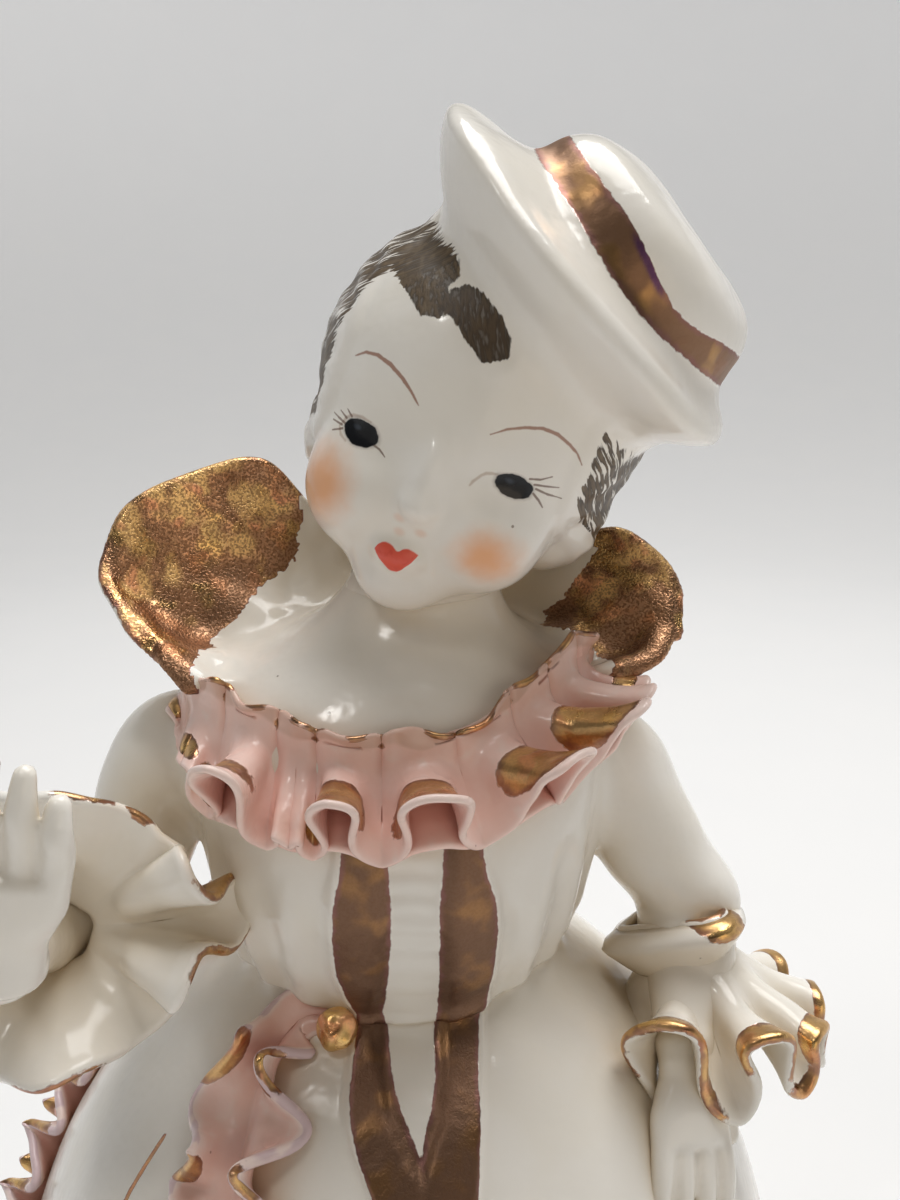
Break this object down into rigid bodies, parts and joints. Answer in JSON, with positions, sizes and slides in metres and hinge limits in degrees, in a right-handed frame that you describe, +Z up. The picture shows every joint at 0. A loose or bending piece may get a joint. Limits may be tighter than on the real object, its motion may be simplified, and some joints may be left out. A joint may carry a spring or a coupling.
{
  "type": "porcelain lady figurine",
  "caption": "Glazed lady figurine in a wide skirt with gilt collar wings, pink fluted ruffles, frilled cuffs and a tipped boater; stands on a low flat base.",
  "frame": {"origin": "centre of the flat underside of the base", "axes": "+Z up through the figure, -Y the way the figure faces, +X towards the figure's left hand, which rests on the skirt"},
  "size_m": [0.1009, 0.0922, 0.1803],
  "materials": {
    "glazed_porcelain": "clear gloss glaze over white porcelain, with pink enamel, gold lustre and fine painted details"
  },
  "bodies": {
    "root": {"porcelain_lady_figurine": "glazed_porcelain"}
  },
  "joints": []
}
